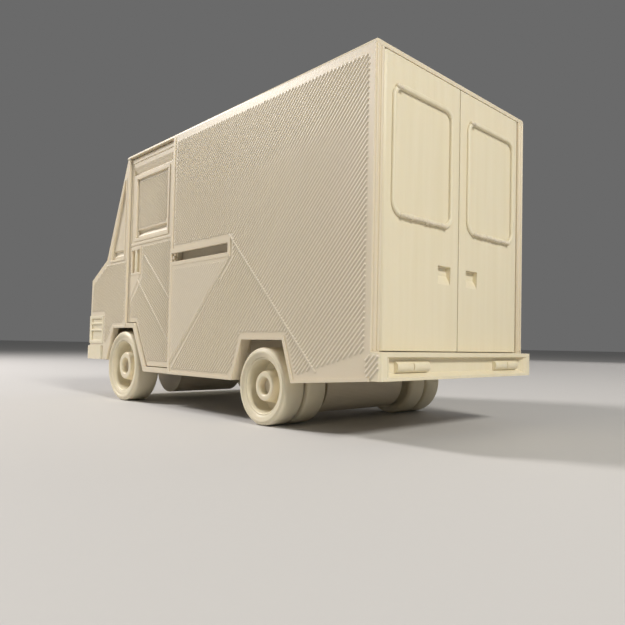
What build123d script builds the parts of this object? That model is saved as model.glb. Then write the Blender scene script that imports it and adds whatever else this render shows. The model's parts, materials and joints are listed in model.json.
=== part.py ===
from build123d import *
import os

# Mail step van miniature. +X forward, +Y to its left, +Z up, origin on the ground
# under the middle of the overall length. Lengths along X are first given as stations,
# measured forward from the outer face of the rear doors, and shifted once when saved.

# ---- driving dimensions (mm) ----
rear_end = -1.5            # rear bumper face
front_end = 76.85          # front bumper face
mid_station = (rear_end + front_end) / 2
half_width = 15.5          # outer face of the cargo sides
ridge = 0.12               # how far beads and ridges stand out
cab_half = 15.35           # outer face of the cab sides
roof_z = 42.5              # underside of the roof panel
roof_top = 43.0
sill_z = 5.4               # lower edge of the body sides
skirt_z = 6.6              # lower edge at the rear corner
seam = 43.3                # front edge of the cargo sides
skin = 0.35                # cargo side, over the door pocket
liner = 0.5
gap = 0.08                 # each side of a sliding door
door_out = half_width - skin - gap
door_thick = 0.9
liner_out = door_out - door_thick - gap
inner_half = liner_out     # inner face of the cargo sides, behind the door pocket
pocket_end = 26.0
door_front = 59.2
door_rear = 42.2
door_travel = 15.0
cab_rear = 59.35
floor_z = 10.9
floor_thick = 0.7
deck_z = 13.0
riser_station = 53.5
step_half = 10.5           # inner edge of the entry steps

rear_radius = 4.95
rear_station = 19.05
rear_face = 15.45
rear_width = 6.9
front_radius = 6.05
front_station = 60.35
front_face = 15.3
front_width = 4.05
rod_radius = 0.7
bore_gap = 0.05
bead_ratio = 0.74          # rim radius over wheel radius

door_x = 0.9               # rear door thickness
door_z0 = 9.8
door_z1 = 42.4
hinge_x = 0.45
hinge_y = inner_half - 0.55
pin_radius = 0.22
slot_low = 22.75
slot_high = 24.1
slot_rear = 27.2
slot_front = 42.95

handle_z0 = 22.2           # cab door handle pocket
handle_z1 = 26.1
pocket_deep = 0.65
seal_width = 0.62          # rear window bead
seal_proud = 0.35
window_round = 1.7

bumper_z0 = 6.65           # rear bumper
bumper_z1 = 9.65
channel_deep = 0.8
tail_lamp_z = 8.1
tail_lamp_radius = 0.62
nose_beam_x = 68.8         # front bumper
nose_beam_z0 = 6.9
nose_beam_z1 = 9.45
lamp_x0 = 68.85            # headlamp, wrapped round the corner
lamp_x1 = 75.1
lamp_y = 11.5
lamp_z0 = 9.9
lamp_z1 = 15.05
lamp_rows = ((10.5, 12.2), (12.55, 13.45), (13.8, 14.5))
grille_half = 9.6
grille_z0 = 10.6
grille_z1 = 16.4
slat_pitch = 1.05
slat_gap = 0.55

liner_rear = 24.0
floor_half = 13.9          # cab floor
rail_z0 = 7.4              # underside of the frame rails
rail_y0 = 5.2
rail_y1 = 6.8
axle_short = 1.4           # how far the rods stop inside the wheels' faces
dish = 2.6
glass_span = (0.07, 0.93)  # windshield, as fractions of the slope
glass_half = 13.0
pin_z0 = 8.95

# side outlines, as (station, height)
rear_arch = [(12.4, 4.5), (14.75, 10.85), (23.4, 10.85), (25.9, 4.5)]
front_arch = [(51.55, 4.5), (56.5, 12.7), (64.25, 12.7), (67.95, 4.5)]
nose = [(60.3, roof_z), (68.1, 25.25), (74.65, 21.85), (75.0, 9.45)]
nose_inner = [(74.1, 9.45), (73.75, 21.2), (67.35, 24.55), (59.4, roof_z)]


def block(x0, x1, y0, y1, z0, z1):
    return Pos((x0 + x1) / 2, (y0 + y1) / 2, (z0 + z1) / 2) * Box(x1 - x0, y1 - y0, z1 - z0)


def outline(points, y):
    return make_face(Polyline(*[(x, y, z) for x, z in points], close=True))


def plate(points, y0, y1):
    return extrude(outline(points, y0), amount=y1 - y0, dir=(0, 1, 0))


def band(points, width, y0, y1):
    """The strip of the given width round an outline."""
    outer = offset(outline(points, y0), amount=width, kind=Kind.INTERSECTION)
    return extrude(outer, amount=y1 - y0, dir=(0, 1, 0)) - plate(points, y0 - 1, y1 + 1)


def turned(points, station, height):
    """A solid of revolution about a wheel's axis, from (radius, y) points."""
    face = make_face(Polyline(*[(0, y, r) for r, y in points], close=True))
    return Pos(station, 0, height) * revolve(face, axis=Axis.Y, revolution_arc=360)


def bar(points, x0, x1):
    """A prism along X, from (y, height) points."""
    face = make_face(Polyline(*[(x0, y, z) for y, z in points], close=True))
    return extrude(face, amount=x1 - x0, dir=(1, 0, 0))


def rod(radius, y0, y1, station, height):
    return Pos(station, (y0 + y1) / 2, height) * Rot(90, 0, 0) * Cylinder(radius, y1 - y0)


def both(name, shape):
    """A left piece and its mirror image on the right."""
    return {name + "_left": shape, name + "_right": mirror(shape, about=Plane.XZ)}


# ---- cargo body ----
def cargo_side():
    edge = [(0, skirt_z), (0, roof_z), (seam, roof_z), (seam, sill_z), (25.2, sill_z), (12.9, 5.7)]
    side = plate(edge, inner_half, half_width)
    side -= block(pocket_end, seam + 1, inner_half - 1, half_width - skin, 0, roof_z + 1)
    raised = band(rear_arch, 0.45, half_width, half_width + ridge)
    raised += block(seam - 0.5, seam, half_width, half_width + ridge, sill_z, roof_z)
    raised += block(slot_rear - 0.55, seam, half_width, half_width + ridge, slot_low - 0.6, slot_high + 0.7)
    raised += plate([(0, skirt_z), (12.9, 5.7), (12.9, 6.1), (0, 7.0)], half_width, half_width + ridge)
    raised += block(25.2, seam, half_width, half_width + ridge, sill_z, sill_z + 0.4)
    raised &= plate(edge, half_width - 0.1, half_width + 1)
    crease = [(slot_rear - 0.3, 22.15), (seam - 0.5, 22.15), (seam - 0.5, 7.3)]
    side += plate(crease, half_width - 0.05, half_width + 0.08)
    side += raised
    side -= plate(rear_arch, inner_half - 1, half_width + 1)
    side -= block(slot_rear, slot_front, inner_half, half_width + 1, slot_low, slot_high)
    for y in (half_width - 0.4, half_width - 1.05):     # beads down the rear corner
        side += Pos(0, y, (skirt_z + roof_z + 3.2) / 2) * Cylinder(0.16, roof_z - skirt_z - 3.4)
    return side


def rear_sill():
    sill = block(0, 1.2, -inner_half, inner_half, skirt_z, 9.7)
    sill += block(1.2, 2.2, -inner_half, inner_half, skirt_z, floor_z)
    for y in (-hinge_y, hinge_y):
        sill -= Pos(hinge_x, y, 9.3) * Cylinder(pin_radius + 0.01, 0.82)
    return sill


def cargo_floor():
    rear = block(1.2, liner_rear, -inner_half, inner_half, floor_z, floor_z + floor_thick)
    front = block(liner_rear, seam, -13.5, 13.5, floor_z, floor_z + floor_thick)
    return rear + front


def pocket_liner():
    return block(liner_rear, seam, liner_out - liner, liner_out, 9.0, roof_z) - plate(
        rear_arch, liner_out - 1, liner_out + 1)


def roof_panel():
    panel = block(0, 60.3, -half_width, half_width, roof_z, roof_top)
    panel -= plate([(60.3, roof_z), (61, roof_z), (61, roof_top), (60.03, roof_top)], -20, 20)
    panel = fillet(panel.edges().filter_by(Axis.X).group_by(Axis.Z)[-1], 0.42)
    for y in (-hinge_y, hinge_y):
        panel -= Pos(hinge_x, y, roof_z + 0.2) * Cylinder(pin_radius + 0.01, 0.4)
    return panel


# ---- cab ----
def windshield_outline(low, high, depth, thickness):
    """A slab along the windshield slope; low and high are fractions of its length."""
    (x0, z0), (x1, z1) = nose[0], nose[1]
    run = Vector(x1 - x0, 0, z1 - z0)
    inward = Vector(run.Z, 0, -run.X).normalized()
    corners = []
    for along, deep in ((low, depth), (high, depth), (high, depth + thickness), (low, depth + thickness)):
        point = Vector(x0, 0, z0) + run * along + inward * deep
        corners.append((point.X, point.Z))
    return corners


def headlamp_body():
    outer = cab_half + 0.07
    side = block(lamp_x0, lamp_x1, outer - 0.47, outer, lamp_z0, lamp_z1)
    front = block(lamp_x1 - 0.75, lamp_x1, lamp_y, outer, lamp_z0, lamp_z1)
    return side + front


def headlamp():
    lamp = headlamp_body()
    for low, high in lamp_rows:
        lamp -= block(lamp_x0 + 0.6, lamp_x1 - 1, cab_half - 0.12, cab_half + 1, low, high)
        lamp -= block(lamp_x1 - 0.15, 76, lamp_y + 0.6, 14.7, low, high)
    return lamp


def grille_body():
    return block(74.3, 75.15, -grille_half, grille_half, grille_z0, grille_z1)


def grille():
    panel = grille_body()
    for row in range(5):
        low = grille_z0 + 0.6 + row * slat_pitch
        panel -= block(74.8, 76, 0.6 - grille_half, grille_half - 0.6, low, low + slat_gap)
    return panel


def cab_front():
    shell = plate(nose + nose_inner, -cab_half + 1, cab_half - 1)
    shell -= plate(windshield_outline(*glass_span, -1, 4), -glass_half, glass_half)
    shell -= headlamp_body()
    shell -= mirror(headlamp_body(), about=Plane.XZ)
    shell -= grille_body()
    return shell


def windshield_pane():
    pane = plate(windshield_outline(*glass_span, 0.25, 0.5), -glass_half, glass_half)
    return pane - plate(windshield_outline(0, 1, 0, 0.35), -0.15, 0.15)


quarter_window = [(60.75, 25.0), (66.1, 25.0), (65.75, 27.2), (61.1, 38.9), (60.75, 38.9)]


def cab_side():
    low = [(68.8, 9.45), (68.8, 6.9), (66, 6.9), (60, 12), (cab_rear, 12), (cab_rear, roof_z)]
    side = plate(nose + low, cab_half - 1, cab_half)
    raised = band(front_arch, 0.4, cab_half, cab_half + 0.1)
    raised += band(quarter_window, 0.35, cab_half, cab_half + 0.1)
    raised += block(cab_rear, cab_rear + 0.35, cab_half, cab_half + 0.1, 12, roof_z)
    side += raised & plate(nose + low, cab_half - 0.1, cab_half + 1)
    side -= plate(front_arch, 0, 20)
    side -= plate(quarter_window, 0, 20)
    return side - headlamp_body()


def quarter_pane():
    pane = plate(quarter_window, cab_half - 0.8, cab_half - 0.3)
    face = cab_half - 0.3
    sill = [(face + 0.2, 25.3), (face - 0.3, 25.9), (face - 0.3, 26.5), (face + 0.2, 26.7)]
    return pane - bar(sill, 61.0, 65.6)


def cab_floor():
    low = block(seam, riser_station, -step_half, step_half, floor_z, floor_z + floor_thick)
    riser = block(riser_station, riser_station + 0.5, -floor_half, floor_half, floor_z, deck_z + floor_thick)
    deck = block(riser_station, 73.6, -floor_half, floor_half, deck_z, deck_z + floor_thick)
    return low + riser + deck


def entry_step():
    tread = block(seam, 52.4, step_half, liner_out, 6.2, 6.9)
    return tread + block(seam, 52.4, step_half, step_half + 0.5, 6.9, floor_z)


def door_sill():
    """The step edge under the cab door and the lip that follows the wheel arch."""
    inner = door_out - door_thick
    foot = block(seam + 0.02, 52.6, inner, cab_half, sill_z, sill_z + 0.8)
    lip = band(front_arch, 0.8, inner, cab_half) & block(45, cab_rear, 0, 20, sill_z, 14)
    return (foot + lip) - plate(front_arch, 0, 20)


# ---- cab doors, which slide back into the cargo sides ----
door_window = (45.9, 57.0, 28.1, 38.4)


def cab_door():
    clear = 0.95               # sill lip and its running gap
    field = door_out - 0.1
    inner = door_out - door_thick
    edge = [(door_rear, sill_z + clear), (door_front, sill_z + clear), (door_front, 42.2), (door_rear, 42.2)]
    grown = offset(outline(front_arch, inner - 1), amount=clear, kind=Kind.INTERSECTION)
    arch = extrude(grown, amount=4, dir=(0, 1, 0))
    panel = plate(edge, inner, field)
    x0, x1, z0, z1 = door_window
    raised = block(x0 - 0.55, x1 + 0.55, field, door_out, z0 - 0.5, z1 + 0.5)
    raised += block(seam + 0.3, door_front, field, door_out, 26.95, 27.35)
    raised += block(54.9, 58.6, field, door_out, 21.8, 26.6)
    raised += block(seam + 0.3, door_front, field, door_out, 41.5, 42.2)
    raised += block(door_front - 0.4, door_front, field, door_out, sill_z, 42.2)
    raised += plate([(58.8, 17.4), (58.8, 21.8), (55.0, 21.8)], field, field + 0.05)
    panel += raised & plate(edge, inner, door_out)
    panel -= arch
    panel -= block(x0, x1, inner - 1, door_out + 1, z0, z1)
    cove = [(door_out + 0.2, 41.5), (door_out - 0.5, 39.6), (door_out - 0.5, 39.35), (door_out + 0.2, 39.15)]
    panel -= bar(cove, 44.0, 58.5)
    panel -= block(55.2, 58.2, door_out - pocket_deep, door_out + 1, handle_z0, handle_z1)
    return panel


def cab_door_pane():
    x0, x1, z0, z1 = door_window
    face = door_out - 0.3
    pane = block(x0, x1, face - 0.6, face, z0, z1)
    sill = [(face + 0.2, z0 + 0.1), (face - 0.45, z0 + 0.9), (face - 0.45, z0 + 1.35), (face + 0.2, z0 + 1.5)]
    return pane - bar(sill, x0 + 0.25, x1 - 0.25)


def cab_door_handle():
    grip = block(56.35, 57.2, door_out - pocket_deep, door_out - 0.02, handle_z0, handle_z1)
    return fillet(grip.edges().filter_by(Axis.Z).group_by(Axis.Y)[-1], 0.2)


def guide_pin():
    return rod(0.3, door_out, half_width - 0.02, 42.6, (slot_low + slot_high) / 2)


# ---- rear doors ----
window_y = (1.5, 12.75)
window_z = (24.5, 39.3)


def rear_window(inset, x0, x1):
    """A rounded window blank; inset shrinks it all round."""
    y0, y1 = window_y
    z0, z1 = window_z
    sketch = RectangleRounded(y1 - y0 - 2 * inset, z1 - z0 - 2 * inset, window_round - inset)
    face = Plane(origin=(x0, (y0 + y1) / 2, (z0 + z1) / 2), x_dir=(0, 1, 0), z_dir=(1, 0, 0)) * sketch
    return extrude(face, amount=x1 - x0, dir=(1, 0, 0))


def rear_door():
    height = door_z1 - door_z0
    door = block(0, door_x, 0.08, hinge_y, door_z0, door_z1)
    door += Pos(hinge_x, hinge_y, (door_z0 + door_z1) / 2) * Cylinder(0.45, height)
    door -= Pos(hinge_x, hinge_y, (door_z0 + door_z1) / 2) * Cylinder(pin_radius + 0.03, height + 1)
    door -= rear_window(seal_width, -1, door_x + 1)
    pocket = [(-0.1, 17.6), (0.65, 18.9), (0.65, 20.0), (-0.1, 20.0)]
    return door - plate(pocket, 1.65, 4.1)


def rear_window_pane():
    return rear_window(seal_width + 0.01, 0.08, 0.7)


def rear_window_seal():
    bead = rear_window(0, -seal_proud, 0) - rear_window(seal_width, -1, 1)
    crown = bead.faces().sort_by(Axis.X)[0]
    return fillet(crown.edges(), 0.24)


# ---- bumpers and lamps ----
def rear_bumper():
    beam = block(rear_end, 0, -half_width, half_width, bumper_z0, bumper_z1)
    back = rear_end + channel_deep
    channel = plate([(rear_end - 0.1, 6.9), (back, 7.45), (back, 9.0), (rear_end - 0.1, 9.2)], -15, 15)
    ends = make_face(Polyline((rear_end - 0.1, -14.3, 5), (back, -13.3, 5), (back, 13.3, 5),
                              (rear_end - 0.1, 14.3, 5), close=True))
    beam -= channel & extrude(ends, amount=6, dir=(0, 0, 1))
    return chamfer(beam.edges().filter_by(Axis.Z).group_by(Axis.X)[0], 0.3)


def tail_lamp():
    back = rear_end + channel_deep
    lens = rod(tail_lamp_radius, 6.9, 12.5, back, tail_lamp_z) & block(rear_end, back, 6, 13, 7, 9)
    return lens - block(rear_end - 1, rear_end + 0.4, 9.7, 9.85, 7, 9)


def front_bumper():
    beam = block(nose_beam_x, front_end, -half_width, half_width, nose_beam_z0, nose_beam_z1)
    beam = chamfer(beam.edges().filter_by(Axis.Z).group_by(Axis.X)[-1], 1.4)
    return chamfer(beam.edges().filter_by(Axis.Z).group_by(Axis.X)[0], 0.8)


# ---- running gear ----
def frame_rail():
    return block(2.2, 68.5, rail_y0, rail_y1, rail_z0, floor_z)


def axle_housing(station, height, reach, sleeve_radius, sleeve_end):
    """A round-bottomed housing under the rails, with a sleeve out to each wheel."""
    radius = height - 1.12
    drum = rod(radius, -reach, reach, station, height)
    drum &= block(station - 10, station + 10, -reach, reach, 0, rail_z0)
    drum += rod(sleeve_radius, -sleeve_end, sleeve_end, station, height)
    return drum - rod(rod_radius + 0.02, -20, 20, station, height)


def axle(face, station, height):
    return rod(rod_radius, axle_short - face, face - axle_short, station, height)


def tyre(radius, y0, y1, rim_radius, station, height):
    """Tyre with stepped sidewalls and rounded shoulders."""
    wall = [(radius, 0.55), (radius - 0.08, 0.3), (radius - 0.25, 0.12), (radius - 0.4, 0.1),
            (radius - 0.45, 0), (radius - 0.8, 0), (radius - 0.85, 0.1), (radius - 1.05, 0.12),
            (radius - 1.1, 0.2), (rim_radius, 0.22)]
    outer = [(r, y1 - inset) for r, inset in wall]
    inner = [(r, y0 + inset) for r, inset in reversed(wall)]
    return turned(inner + outer, station, height)


def rim(radius, y_back, y_front, station, height):
    """Deep dished wheel with a raised hub ring round the axle's end."""
    bead = bead_ratio * radius - 0.02
    hub = 0.385 * radius
    cup = 0.22 * radius
    bore = rod_radius + bore_gap
    points = [(bore, y_back), (bead, y_back), (bead, y_front - 0.3), (bead - 0.12, y_front - 0.3),
              (bead - 0.22, y_front - 0.45), (bead - 0.4, y_front - dish), (0.46 * radius, y_front - dish),
              (hub, y_front - 0.75), (hub - 0.12, y_front - 0.55), (cup + 0.15, y_front - 0.55),
              (cup, y_front - 0.7), (cup, y_front - 1.9), (bore, y_front - 1.9)]
    return turned(points, station, height)


def axle_caps():
    caps = []
    for station, height, radius, face in ((rear_station, rear_radius, 0.95, rear_face),
                                          (front_station, front_radius, 1.15, front_face)):
        for y0 in (face - axle_short - 0.4, axle_short - face):
            cap = rod(radius, y0, y0 + 0.4, station, height)
            caps.append(cap - rod(rod_radius, -20, 20, station, height))
    return Compound(caps)


def hinge_pins():
    length = roof_z + 0.35 - pin_z0
    pins = []
    for y in (-hinge_y, hinge_y):
        pins.append(Pos(hinge_x, y, pin_z0 + length / 2) * Cylinder(pin_radius, length))
    return Compound(pins)


def wheels():
    nodes = {}
    rear_y = rear_face - rear_width
    front_y = front_face - front_width
    half = (rear_width - 0.3) / 2
    rear_bead = bead_ratio * rear_radius
    front_bead = bead_ratio * front_radius
    nodes |= both("rear_outer_tyre", tyre(rear_radius, rear_face - half, rear_face, rear_bead,
                                          rear_station, rear_radius))
    nodes |= both("rear_inner_tyre", tyre(rear_radius, rear_y, rear_y + half, rear_bead,
                                          rear_station, rear_radius))
    nodes |= both("rear_rim", rim(rear_radius, rear_y + 0.3, rear_face, rear_station, rear_radius))
    nodes |= both("front_tyre", tyre(front_radius, front_y, front_face, front_bead,
                                     front_station, front_radius))
    nodes |= both("front_rim", rim(front_radius, front_y + 0.3, front_face,
                                   front_station, front_radius))
    return nodes


def model():
    nodes = {
        "roof_panel": roof_panel(),
        "cargo_floor": cargo_floor(),
        "rear_sill": rear_sill(),
        "cab_front": cab_front(),
        "windshield_pane": windshield_pane(),
        "grille": grille(),
        "cab_floor": cab_floor(),
        "rear_bumper": rear_bumper(),
        "front_bumper": front_bumper(),
        "rear_axle_housing": axle_housing(rear_station, rear_radius, 7.5, 1.6, 8.3),
        "front_axle_housing": axle_housing(front_station, front_radius, 6.3, 1.3, 11.0),
        "rear_axle": axle(rear_face, rear_station, rear_radius),
        "front_axle": axle(front_face, front_station, front_radius),
        "axle_caps": axle_caps(),
        "hinge_pins": hinge_pins(),
    }
    nodes |= both("cargo_side", cargo_side())
    nodes |= both("pocket_liner", pocket_liner())
    nodes |= both("cab_side", cab_side())
    nodes |= both("quarter_pane", quarter_pane())
    nodes |= both("headlamp", headlamp())
    nodes |= both("tail_lamp", tail_lamp())
    nodes |= both("entry_step", entry_step())
    nodes |= both("door_sill", door_sill())
    nodes |= both("frame_rail", frame_rail())
    nodes |= both("cab_door", cab_door())
    nodes |= both("cab_door_pane", cab_door_pane())
    nodes |= both("cab_door_handle", cab_door_handle())
    nodes |= both("guide_pin", guide_pin())
    nodes |= both("rear_door", rear_door())
    nodes |= both("rear_window_pane", rear_window_pane())
    nodes |= both("rear_window_seal", rear_window_seal())
    nodes |= wheels()
    return nodes


os.makedirs("parts", exist_ok=True)
for name, shape in model().items():
    export_step(Pos(-mid_station, 0, 0) * shape, "parts/" + name + ".step")
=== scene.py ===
import bpy
import json
import math
from mathutils import Matrix, Vector


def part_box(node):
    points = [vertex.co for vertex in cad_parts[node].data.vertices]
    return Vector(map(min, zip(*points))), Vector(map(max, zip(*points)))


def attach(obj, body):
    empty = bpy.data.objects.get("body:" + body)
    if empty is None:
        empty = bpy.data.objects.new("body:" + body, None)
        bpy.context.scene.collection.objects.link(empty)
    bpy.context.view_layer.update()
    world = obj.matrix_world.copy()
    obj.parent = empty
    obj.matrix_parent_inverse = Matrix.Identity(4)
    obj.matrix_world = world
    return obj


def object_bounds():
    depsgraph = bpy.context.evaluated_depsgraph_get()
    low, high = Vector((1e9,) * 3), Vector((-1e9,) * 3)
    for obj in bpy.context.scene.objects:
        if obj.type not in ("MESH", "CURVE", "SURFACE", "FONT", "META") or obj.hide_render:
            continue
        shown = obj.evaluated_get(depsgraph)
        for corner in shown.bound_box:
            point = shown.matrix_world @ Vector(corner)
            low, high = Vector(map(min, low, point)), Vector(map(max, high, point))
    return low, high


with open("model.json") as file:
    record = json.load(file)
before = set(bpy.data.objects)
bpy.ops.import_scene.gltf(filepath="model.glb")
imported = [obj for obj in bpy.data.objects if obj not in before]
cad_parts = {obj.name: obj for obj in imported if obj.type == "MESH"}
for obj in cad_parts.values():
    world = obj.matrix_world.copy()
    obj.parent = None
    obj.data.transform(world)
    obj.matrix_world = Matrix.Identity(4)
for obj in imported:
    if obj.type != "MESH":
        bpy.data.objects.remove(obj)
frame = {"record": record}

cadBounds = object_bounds()
mm = 0.001
print("frame loaded, box", cadBounds)

# Flat fields are read from the frame, each one its ridges' height below the outermost face.
ridges = {"side": 0.12, "door": 0.1, "cab": 0.1}
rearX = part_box("rear_door_left")[0][0]
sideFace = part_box("cargo_side_left")[1][1] - ridges["side"] * mm
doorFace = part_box("cab_door_left")[1][1] - ridges["door"] * mm
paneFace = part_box("cab_door_pane_left")[1][1]
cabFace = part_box("cab_side_left")[1][1] - ridges["cab"] * mm
truckSize = [cadBounds[1][i] - cadBounds[0][i] for i in range(3)]


def middle(node):
    low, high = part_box(node)
    return Vector([(low[i] + high[i]) / 2 for i in range(3)])


frontHub = middle("front_tyre_left")
rearHub = middle("rear_outer_tyre_left")


camera = {"place": (-79.53, 59.34, 10.28), "right": (-0.7197, -0.6940, 0.0190),
          "up": (-0.00995, 0.03766, 0.9993), "lens": 33.62, "shift": (-0.0875, 0.0220),
          "sensor": 36, "near": 0.002, "far": 20}


def makeCamera(s):
    right = Vector(s["right"]).normalized()
    up = Vector(s["up"])
    up = (up - right * up.dot(right)).normalized()
    back = right.cross(up)
    data = bpy.data.cameras.new("camera")
    data.sensor_width = s["sensor"]
    data.lens = s["lens"]
    data.shift_x, data.shift_y = s["shift"]
    data.clip_start = s["near"]
    data.clip_end = s["far"]
    cam = bpy.data.objects.new("camera", data)
    turn = Matrix((right, up, back)).transposed().to_4x4()
    cam.matrix_world = Matrix.Translation(Vector(s["place"]) * mm) @ turn
    bpy.context.scene.collection.objects.link(cam)
    bpy.context.scene.camera = cam


makeCamera(camera)
print("camera set")


plastic = {"layer": 0.2, "ringPitch": 0.42, "layerDepth": 0.016, "fillDepth": 0.004,
           "uneven": 1.4, "grain": 0.010, "grainScale": 2600,
           "driftScale": 900, "driftAlong": 0.06, "driftRange": (0.3, 0.7), "darker": (0.96, 0.95, 0.92),
           "rough": (0.32, 0.50), "ior": 1.46, "specular": 0.45,
           "scatter": 0.12, "scatterReach": (1.2, 0.9, 0.5)}


def newMaterial(name):
    mat = bpy.data.materials.new(name)
    mat.use_nodes = True
    nodes = mat.node_tree.nodes
    nodes.clear()
    out = nodes.new("ShaderNodeOutputMaterial")
    shader = nodes.new("ShaderNodeBsdfPrincipled")
    mat.node_tree.links.new(shader.outputs[0], out.inputs[0])
    return mat, nodes, mat.node_tree.links, shader


def mathNode(nodes, links, operation, a, b=None):
    node = nodes.new("ShaderNodeMath")
    node.operation = operation
    for i, value in enumerate((a, b)):
        if value is None:
            continue
        if isinstance(value, (int, float)):
            node.inputs[i].default_value = value
        else:
            links.new(value, node.inputs[i])
    return node.outputs[0]


# height 0 to 1 of rounded layer edges, repeating every pitch of the distance given
def layerWave(nodes, links, distance, pitch):
    turns = mathNode(nodes, links, "MULTIPLY", distance, math.pi / (pitch * mm))
    return mathNode(nodes, links, "ABSOLUTE", mathNode(nodes, links, "SINE", turns))


# ivory plastic: layer edges along one axis, or round a wheel's hub, over a fine grain
def printedPlastic(name, tint, lines="y", hub=None, s=plastic):
    mat, nodes, links, shader = newMaterial(name)
    coords = nodes.new("ShaderNodeTexCoord").outputs["Object"]
    split = nodes.new("ShaderNodeSeparateXYZ")
    links.new(coords, split.inputs[0])
    x, y, z = split.outputs
    if hub:
        across = mathNode(nodes, links, "SUBTRACT", x, hub[0])
        height = mathNode(nodes, links, "SUBTRACT", z, hub[2])
        squares = mathNode(nodes, links, "ADD", mathNode(nodes, links, "MULTIPLY", across, across),
                           mathNode(nodes, links, "MULTIPLY", height, height))
        radial = mathNode(nodes, links, "SQRT", squares)
        rings = layerWave(nodes, links, radial, s["ringPitch"])
        wave = mathNode(nodes, links, "ADD", rings, layerWave(nodes, links, y, s["layer"]))
    else:
        wave = layerWave(nodes, links, {"x": x, "y": y, "z": z}[lines], s["layer"])
    grain = nodes.new("ShaderNodeTexNoise")
    grain.inputs["Scale"].default_value = s["grainScale"]
    grain.inputs["Detail"].default_value = 3
    links.new(coords, grain.inputs["Vector"])
    stretch = nodes.new("ShaderNodeMapping")     # tone drifts from layer to layer, slowly along each
    stretch.inputs["Scale"].default_value = [1 if axis == lines and not hub else s["driftAlong"]
                                              for axis in "xyz"]
    links.new(coords, stretch.inputs["Vector"])
    drift = nodes.new("ShaderNodeTexNoise")
    drift.inputs["Scale"].default_value = s["driftScale"]
    drift.inputs["Detail"].default_value = 4
    links.new(stretch.outputs[0], drift.inputs["Vector"])

    ramp = nodes.new("ShaderNodeValToRGB")
    low, high = ramp.color_ramp.elements
    low.position, high.position = s["driftRange"]
    low.color = [t * d for t, d in zip(tint, s["darker"])] + [1]
    high.color = list(tint) + [1]
    links.new(drift.outputs[0], ramp.inputs[0])
    links.new(ramp.outputs[0], shader.inputs["Base Color"])

    rough = nodes.new("ShaderNodeMapRange")
    rough.inputs["To Min"].default_value, rough.inputs["To Max"].default_value = s["rough"]
    links.new(grain.outputs[0], rough.inputs["Value"])
    links.new(rough.outputs[0], shader.inputs["Roughness"])

    layers = nodes.new("ShaderNodeBump")
    layers.inputs["Distance"].default_value = s["layerDepth"] * mm
    layers.inputs["Strength"].default_value = 1
    uneven = mathNode(nodes, links, "MULTIPLY", drift.outputs[0], s["uneven"])
    links.new(mathNode(nodes, links, "ADD", wave, uneven), layers.inputs["Height"])
    fine = nodes.new("ShaderNodeBump")
    fine.inputs["Distance"].default_value = s["grain"] * mm
    fine.inputs["Strength"].default_value = 1
    links.new(grain.outputs[0], fine.inputs["Height"])
    links.new(layers.outputs[0], fine.inputs["Normal"])
    links.new(fine.outputs[0], shader.inputs["Normal"])
    shader.inputs["IOR"].default_value = s["ior"]
    shader.inputs["Specular IOR Level"].default_value = s["specular"]
    shader.inputs["Subsurface Weight"].default_value = s["scatter"]
    shader.inputs["Subsurface Radius"].default_value = [reach * mm for reach in s["scatterReach"]]
    shader.inputs["Subsurface Scale"].default_value = 1
    return mat


ivory = (0.78, 0.695, 0.542)
# painted shade: a darker copy of the ivory, for the chassis parts that sit in shade under the body
paintedShadeTint = (0.70, 0.62, 0.48)
pale = (0.84, 0.765, 0.58)
bodyPlastic = printedPlastic("bodyPlastic", ivory, "y")
doorPlastic = printedPlastic("rearDoorPlastic", pale, "y")
trimPlastic = printedPlastic("trimPlastic", pale, "y")
chassisShadePlastic = printedPlastic("chassisShadePlastic", paintedShadeTint, "z")
frontWheelPlastic = printedPlastic("frontWheelPlastic", pale, hub=frontHub)
rearWheelPlastic = printedPlastic("rearWheelPlastic", pale, hub=rearHub)
hatchPlastic = printedPlastic("hatchPlastic", ivory, "y", s={**plastic, "layerDepth": plastic["fillDepth"]})

chassisWords = ("rail", "floor", "housing", "axle", "step", "sill", "liner", "pins", "caps", "guide")
trimWords = ("bumper", "lamp", "grille", "seal", "handle")


def finishFor(node):
    if node.startswith("front_") and ("tyre" in node or "rim" in node):
        return frontWheelPlastic
    if "tyre" in node or "rim" in node:
        return rearWheelPlastic
    if node.startswith("rear_door") or node.startswith("rear_window_pane"):
        return doorPlastic
    if node.startswith("door_sill"):
        return bodyPlastic
    if any(word in node for word in trimWords):
        return trimPlastic
    # chassis parts under the body take the darker ivory copy, which is painted shade
    if any(word in node for word in chassisWords):
        return chassisShadePlastic
    return bodyPlastic


def dressNodes():
    for body in frame["record"]["behaviour"]["bodies"].values():
        for node in body:
            piece = bpy.data.objects[node]
            piece.data.materials.clear()
            piece.data.materials.append(finishFor(node))


# Edges are softened, except on rods and on the bumper, where that would stand past its own box.
edges = {"weld": 0.002, "width": 0.07, "segments": 2, "angle": 38,
         "sharp": ("pin", "axle", "caps", "rear_bumper")}


def softenEdges(s):
    for body in frame["record"]["behaviour"]["bodies"].values():
        for node in body:
            if any(word in node for word in s["sharp"]):
                continue
            piece = bpy.data.objects[node]
            weld = piece.modifiers.new("weld", "WELD")
            weld.merge_threshold = s["weld"] * mm
            bevel = piece.modifiers.new("edges", "BEVEL")
            bevel.width = s["width"] * mm
            bevel.segments = s["segments"]
            bevel.limit_method = "ANGLE"
            bevel.angle_limit = math.radians(s["angle"])


dressNodes()
softenEdges(edges)


# Fill lines and turn beads are grown by one Geometry Nodes tree.
beadShape = {"lineSides": 8, "ballLevels": 2, "smallest": 0.82, "largest": 1.06, "seed": 7}


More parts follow.
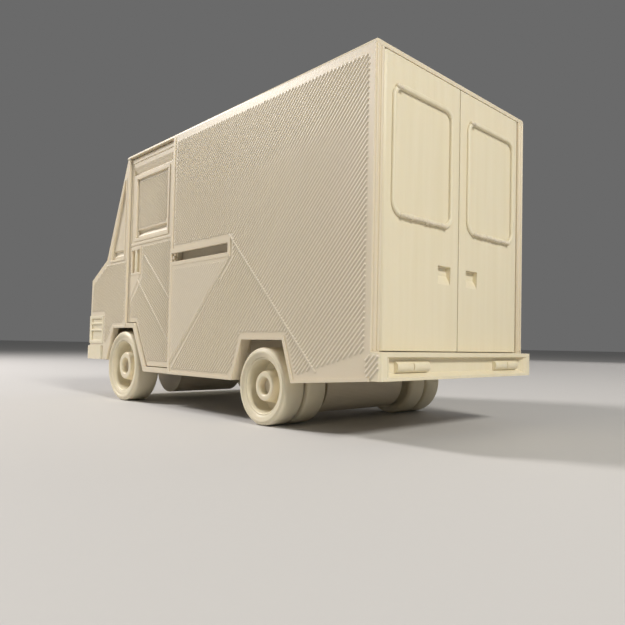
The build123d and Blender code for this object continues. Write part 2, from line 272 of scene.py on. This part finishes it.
# round lines along every edge, and a bead on every point kept after resampling
def fillTree(material, s):
    tree = bpy.data.node_groups.new("fillLines", "GeometryNodeTree")
    face = tree.interface
    face.new_socket("Geometry", in_out="INPUT", socket_type="NodeSocketGeometry")
    for name in ("Line Radius", "Bead Radius", "Bead Spacing"):
        face.new_socket(name, in_out="INPUT", socket_type="NodeSocketFloat")
    face.new_socket("Beads Along", in_out="INPUT", socket_type="NodeSocketBool")
    face.new_socket("Geometry", in_out="OUTPUT", socket_type="NodeSocketGeometry")
    nodes = tree.nodes
    start = nodes.new("NodeGroupInput")
    curve = nodes.new("GeometryNodeMeshToCurve")
    tree.links.new(start.outputs["Geometry"], curve.inputs[0])
    ring = nodes.new("GeometryNodeCurvePrimitiveCircle")
    ring.inputs["Resolution"].default_value = s["lineSides"]
    tree.links.new(start.outputs["Line Radius"], ring.inputs["Radius"])
    tube = nodes.new("GeometryNodeCurveToMesh")
    tree.links.new(curve.outputs[0], tube.inputs["Curve"])
    tree.links.new(ring.outputs["Curve"], tube.inputs["Profile Curve"])
    tube.inputs["Fill Caps"].default_value = True
    along = nodes.new("GeometryNodeResampleCurve")
    along.mode = "LENGTH"
    tree.links.new(curve.outputs[0], along.inputs["Curve"])
    tree.links.new(start.outputs["Bead Spacing"], along.inputs["Length"])
    pick = nodes.new("GeometryNodeSwitch")
    pick.input_type = "GEOMETRY"
    tree.links.new(start.outputs["Beads Along"], pick.inputs["Switch"])
    ends = nodes.new("GeometryNodeMeshToPoints")
    tree.links.new(start.outputs["Geometry"], ends.inputs["Mesh"])
    tree.links.new(ends.outputs[0], pick.inputs["False"])
    tree.links.new(along.outputs[0], pick.inputs["True"])
    ball = nodes.new("GeometryNodeMeshIcoSphere")
    ball.inputs["Subdivisions"].default_value = s["ballLevels"]
    tree.links.new(start.outputs["Bead Radius"], ball.inputs["Radius"])
    beads = nodes.new("GeometryNodeInstanceOnPoints")
    tree.links.new(pick.outputs[0], beads.inputs["Points"])
    tree.links.new(ball.outputs["Mesh"], beads.inputs["Instance"])
    size = nodes.new("FunctionNodeRandomValue")
    size.data_type = "FLOAT"
    size.inputs["Min"].default_value = s["smallest"]
    size.inputs["Max"].default_value = s["largest"]
    size.inputs["Seed"].default_value = s["seed"]
    tree.links.new(size.outputs["Value"], beads.inputs["Scale"])
    join = nodes.new("GeometryNodeJoinGeometry")
    tree.links.new(tube.outputs[0], join.inputs[0])
    tree.links.new(beads.outputs[0], join.inputs[0])
    real = nodes.new("GeometryNodeRealizeInstances")
    tree.links.new(join.outputs[0], real.inputs[0])
    smooth = nodes.new("GeometryNodeSetShadeSmooth")
    tree.links.new(real.outputs[0], smooth.inputs[0])
    paint = nodes.new("GeometryNodeSetMaterial")
    paint.inputs["Material"].default_value = material
    tree.links.new(smooth.outputs[0], paint.inputs[0])
    end = nodes.new("NodeGroupOutput")
    tree.links.new(paint.outputs[0], end.inputs[0])
    return tree


fillLines = fillTree(hatchPlastic, beadShape)


# run the tree on a wire mesh and keep the result as one plain piece on a body
def grow(name, points, wires, body, lineRadius, beadRadius, beadSpacing=0.5, along=False):
    wire = bpy.data.meshes.new(name + "Wire")
    wire.from_pydata(points, wires, [])
    source = bpy.data.objects.new(name + "Wire", wire)
    bpy.context.scene.collection.objects.link(source)
    mod = source.modifiers.new("fill", "NODES")
    mod.node_group = fillLines
    values = {"Line Radius": lineRadius * mm, "Bead Radius": beadRadius * mm,
              "Bead Spacing": beadSpacing * mm, "Beads Along": along}
    for item in fillLines.interface.items_tree:
        if item.in_out == "INPUT" and item.name in values:
            mod[item.identifier] = values[item.name]
    graph = bpy.context.evaluated_depsgraph_get()
    mesh = bpy.data.meshes.new_from_object(source.evaluated_get(graph))
    mesh.name = name
    bpy.data.objects.remove(source)
    piece = bpy.data.objects.new(name, mesh)
    bpy.context.scene.collection.objects.link(piece)
    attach(piece, body)
    return piece


# where the line x + z = row meets the loops, sorted by x
def crossings(loops, row):
    found = []
    for loop in loops:
        for (x0, z0), (x1, z1) in zip(loop, loop[1:] + loop[:1]):
            s0 = x0 + z0 - row
            s1 = x1 + z1 - row
            if (s0 < 0) != (s1 < 0):
                t = s0 / (s0 - s1)
                found.append(x0 + (x1 - x0) * t)
    return sorted(found)


# straight fill lines at 45 degrees, rising towards the rear, inside the loops
def fillWires(loops, y, s):
    sums = [x + z for loop in loops for x, z in loop]
    step = s["pitch"] * math.sqrt(2)
    points, wires = [], []
    row = min(sums) + step / 2
    while row < max(sums):
        xs = crossings(loops, row)
        for a, b in zip(xs[::2], xs[1::2]):
            if b - a < s["shortest"]:
                continue
            wires.append((len(points), len(points) + 1))
            points += [(place(a), y, (row - a) * mm), (place(b), y, (row - b) * mm)]
        row += step
    return points, wires


def pathWires(paths, y):
    points, wires = [], []
    for path in paths:
        first = len(points)
        points += [(place(x), y, z * mm) for x, z in path]
        wires += [(first + i, first + i + 1) for i in range(len(path) - 1)]
    return points, wires


# forward position of a station counted in mm from the rear doors
def place(station):
    return rearX + station * mm


# Loops are (station, height) in mm, from the rear doors' face and the ground. A line's radius and sink
# add up to less than the 0.35 mm skin over the door pocket, and a bead stays inside the ridges' height.
hatch = {"pitch": 0.448, "line": 0.205, "sink": 0.105, "bead": 0.21, "raisedLift": 0.018,
         "raisedBead": 0.19, "shortest": 0.35, "creaseSpacing": 0.46}
rearHubX = (rearHub.x - rearX) / mm
cargoField = [(1.0, 9.7), (1.0, 41.5), (42.2, 41.5), (42.2, 25.4), (26.0, 25.4), (26.0, 22.3), (42.2, 6.6),
              (42.2, 6.3), (rearHubX + 7.0, 6.3), (rearHubX + 5.0, 11.9), (rearHubX - 4.9, 11.9),
              (rearHubX - 7.0, 6.8)]
cargoTriangle = [(27.9, 21.6), (42.2, 21.6), (42.2, 8.2)]
doorField = [(44.1, 7.3), (51.6, 7.3), (55.6, 14.6), (58.3, 14.6), (58.3, 17.0), (54.3, 21.4), (54.3, 26.4),
             (44.1, 26.4)]
doorPaneField = [(46.4, 30.0), (56.5, 30.0), (56.5, 37.9), (46.4, 37.9)]
bumperField = [(-1.1, 7.0), (-1.1, 9.3), (0.6, 9.3), (0.6, 7.0)]
cabField = [(60.2, 13.7), (60.2, 24.2), (67.9, 24.2), (73.8, 21.1), (74.1, 15.9), (68.2, 15.9),
            (68.2, 10.2), (67.1, 10.2), (64.9, 13.7)]
fields = [("cargoFill", [cargoField], sideFace, "truck"),
          ("triangleFill", [cargoTriangle], sideFace + hatch["raisedLift"] * mm, "truck"),
          ("bumperFill", [bumperField], sideFace, "truck"),
          ("cabFill", [cabField], cabFace, "truck"),
          ("doorFill", [doorField], doorFace, "cab_door_{}_body"),
          ("paneFill", [doorPaneField], paneFace, "cab_door_{}_body")]
# name, paths, face, body, line radius, sink, bead radius, beads along
creases = [("cargoCrease", [[(26.9, 25.1), (8.6, 7.2)]], sideFace, "truck", 0.225, 0.11, 0.215, True),
           ("slotCrease", [[(26.6, 22.2), (42.6, 7.1)]], sideFace, "truck", 0.225, 0.11, 0.2, False),
           ("doorCrease", [[(56.0, 20.9), (44.4, 10.4)], [(53.6, 24.9), (44.4, 17.2)]], doorFace,
            "cab_door_{}_body", 0.23, 0.115, 0.2, False)]

for side, sign in (("left", 1), ("right", -1)):
    for name, loops, face, body in fields:
        body = body.format(side)
        depth = sign * (face - hatch["sink"] * mm)
        wires = fillWires(loops, depth, hatch)
        bead = hatch["raisedBead"] if name == "triangleFill" else hatch["bead"]
        grow(name + side.title(), *wires, body, hatch["line"], bead)
    for name, paths, face, body, line, sink, bead, along in creases:
        depth = sign * (face - sink * mm)
        wires = pathWires(paths, depth)
        grow(name + side.title(), *wires, body.format(side), line, bead, hatch["creaseSpacing"], along)
print("fill lines grown")


# plastic drooped along the foot of each rear window's bead, and a blob at one upper corner
droop = {"line": 0.2, "bead": 0.31, "spacing": 0.85, "inward": 0.08, "rise": 0.2, "inset": 1.6,
         "spans": 6, "sag": 0.05, "sagTurn": 2.3, "cornerDrop": 0.5, "cornerOut": (0.3, 0.9)}


def droops(side, s):
    low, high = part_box("rear_window_seal_" + side)
    outerEdge = low[0] + s["inward"] * mm
    foot = low[2] + s["rise"] * mm
    start, end = low[1] + s["inset"] * mm, high[1] - s["inset"] * mm
    path = []
    for i in range(s["spans"] + 1):
        height = foot + s["sag"] * mm * math.sin(i * s["sagTurn"])
        path.append((outerEdge, start + (end - start) * i / s["spans"], height))
    corner = [(outerEdge, end + out * mm, high[2] - s["cornerDrop"] * mm) for out in s["cornerOut"]]
    wires = [(i, i + 1) for i in range(s["spans"])] + [(s["spans"] + 1, s["spans"] + 2)]
    piece = grow("windowDroop" + side.title(), path + corner, wires, "rear_door_" + side + "_body",
                 s["line"], s["bead"], s["spacing"], True)
    piece.data.materials[0] = doorPlastic


for side in ("left", "right"):
    droops(side, droop)
print("window droops grown")


studioFloor = {"reach": 6.0, "colour": (0.54, 0.535, 0.525), "grainScale": 900, "grain": 0.02, "rough": 0.8}


def floorMaterial(s):
    mat, nodes, links, shader = newMaterial("studioFloor")
    shader.inputs["Base Color"].default_value = (*s["colour"], 1)
    noise = nodes.new("ShaderNodeTexNoise")
    noise.inputs["Scale"].default_value = s["grainScale"]
    coords = nodes.new("ShaderNodeTexCoord")
    links.new(coords.outputs["Object"], noise.inputs["Vector"])
    bump = nodes.new("ShaderNodeBump")
    bump.inputs["Distance"].default_value = s["grain"] * mm
    links.new(noise.outputs[0], bump.inputs["Height"])
    links.new(bump.outputs[0], shader.inputs["Normal"])
    shader.inputs["Roughness"].default_value = s["rough"]
    return mat


def makeFloor(s):
    reach = s["reach"]
    mesh = bpy.data.meshes.new("floor")
    mesh.from_pydata([(-reach, -reach, 0), (reach, -reach, 0), (reach, reach, 0), (-reach, reach, 0)],
                     [], [(0, 1, 2, 3)])
    mesh.materials.append(floorMaterial(s))
    floor = bpy.data.objects.new("floor", mesh)
    bpy.context.scene.collection.objects.link(floor)


lights = [{"name": "rearKey", "place": (-0.34, 0.06, 0.26), "size": 0.08,
           "power": 1.14, "colour": (1, 0.96, 0.89)},
          {"name": "sideRake", "place": (0.26, 0.14, 0.22), "size": 0.06,
           "power": 1.19, "colour": (1, 0.95, 0.92)},
          {"name": "farFill", "place": (0.05, -0.40, 0.20), "size": 0.30,
           "power": 0.3, "colour": (1, 0.95, 0.92)},
          {"name": "sideFill", "place": (0.10, 0.40, 0.22), "size": 0.30,
           "power": 0.07, "colour": (1, 0.93, 0.90)},
          {"name": "topSoft", "place": (0.05, 0.0, 0.50), "size": 0.5,
           "power": 0.12, "colour": (1, 1, 1)}]


backdrop = {"colour": (0.80, 0.80, 0.80), "strength": 0.18}


def makeLights():
    for s in lights:
        data = bpy.data.lights.new(s["name"], "AREA")
        data.size = s["size"]
        data.energy = s["power"]
        data.color = s["colour"]
        lamp = bpy.data.objects.new(s["name"], data)
        aim = Vector((0, 0, truckSize[2] / 2)) - Vector(s["place"])
        lamp.location = s["place"]
        lamp.rotation_euler = aim.to_track_quat("-Z", "Y").to_euler()
        bpy.context.scene.collection.objects.link(lamp)
    world = bpy.data.worlds.new("studio")
    world.use_nodes = True
    sky = world.node_tree.nodes["Background"]
    sky.inputs["Color"].default_value = (*backdrop["colour"], 1)
    sky.inputs["Strength"].default_value = backdrop["strength"]
    bpy.context.scene.world = world
    bpy.context.scene.view_settings.view_transform = "Standard"


makeFloor(studioFloor)
makeLights()
print("floor and lights set")
